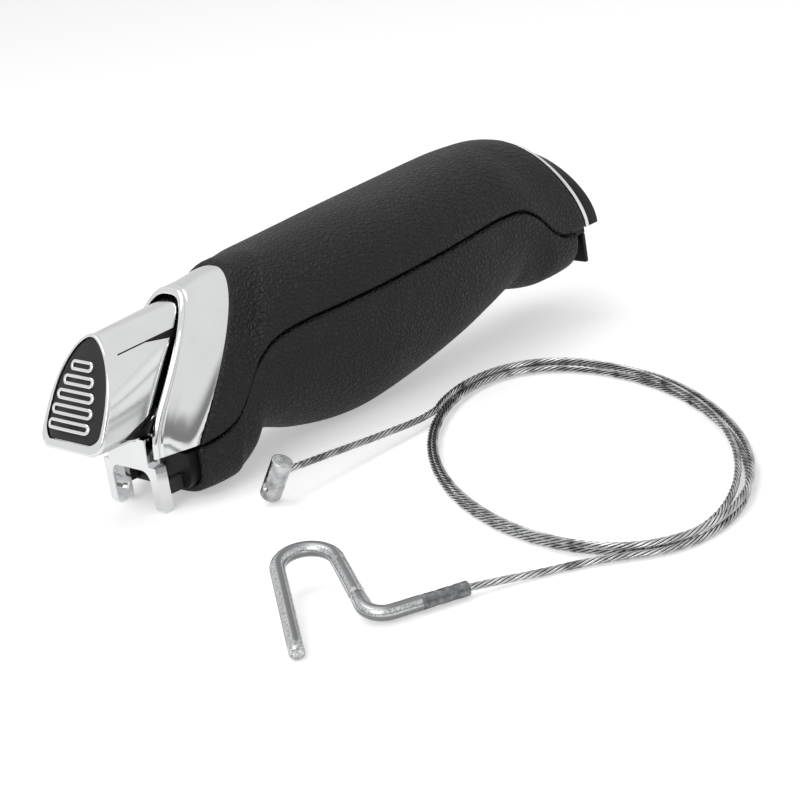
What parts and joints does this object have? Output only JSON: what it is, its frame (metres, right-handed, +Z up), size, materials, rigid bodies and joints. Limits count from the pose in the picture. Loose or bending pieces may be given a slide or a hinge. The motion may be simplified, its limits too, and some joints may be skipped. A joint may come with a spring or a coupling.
{
  "type": "parking brake lever grip",
  "caption": "Leather-covered parking brake lever grip with a rocking chrome release button, a lever socket, and a loose release cable with a barrel nipple and a wire hook.",
  "frame": {"origin": "middle of the lever socket's mouth, at the rear of the grip", "axes": "+X along the lever socket, out of its mouth and rearward; +Z up, towards the back of the hand; -Y towards the side on which the cable lies"},
  "size_m": [0.1712, 0.1386, 0.048],
  "materials": {
    "leather": "fine pebble grain",
    "chrome": "polished",
    "black_plastic": "satin",
    "pad_plastic": "matt",
    "steel": "drawn",
    "rope": "stranded wire",
    "zinc": "zinc plated",
    "rubber": "matt",
    "nylon": "natural"
  },
  "bodies": {
    "grip": {"core_carrier": "black_plastic", "lever_sleeve": "steel", "upper_shell": "black_plastic", "lower_shell": "black_plastic", "upper_leather": "leather", "lower_leather": "leather", "front_bezel": "chrome", "rear_ring": "chrome", "rear_collar": "black_plastic", "retaining_clip": "black_plastic", "pivot_pin": "steel", "pin_retainers": "steel", "return_spring": "steel", "rest_stop_pads": "rubber", "cable_guide_bush": "nylon", "barrel_nipple": "zinc", "cable_lead": "rope", "cable_coil": "rope", "cable_tail": "rope", "hook_ferrule": "zinc", "cable_hook": "zinc"},
    "button": {"release_button": "chrome", "face_frame": "chrome", "face_inlay": "pad_plastic", "face_ribs": "chrome", "release_fork": "chrome", "button_screw": "steel"}
  },
  "joints": [
    {"name": "button_rock", "type": "hinge", "parent": "grip", "child": "button", "pos_m": [-0.127, 0, -0.01201], "axis": [0, 1, 0], "range_deg": [0, 12], "stiffness_Nm_per_rad": 0.6, "springref_deg": -17.19, "deforming": ["return_spring"]}
  ]
}
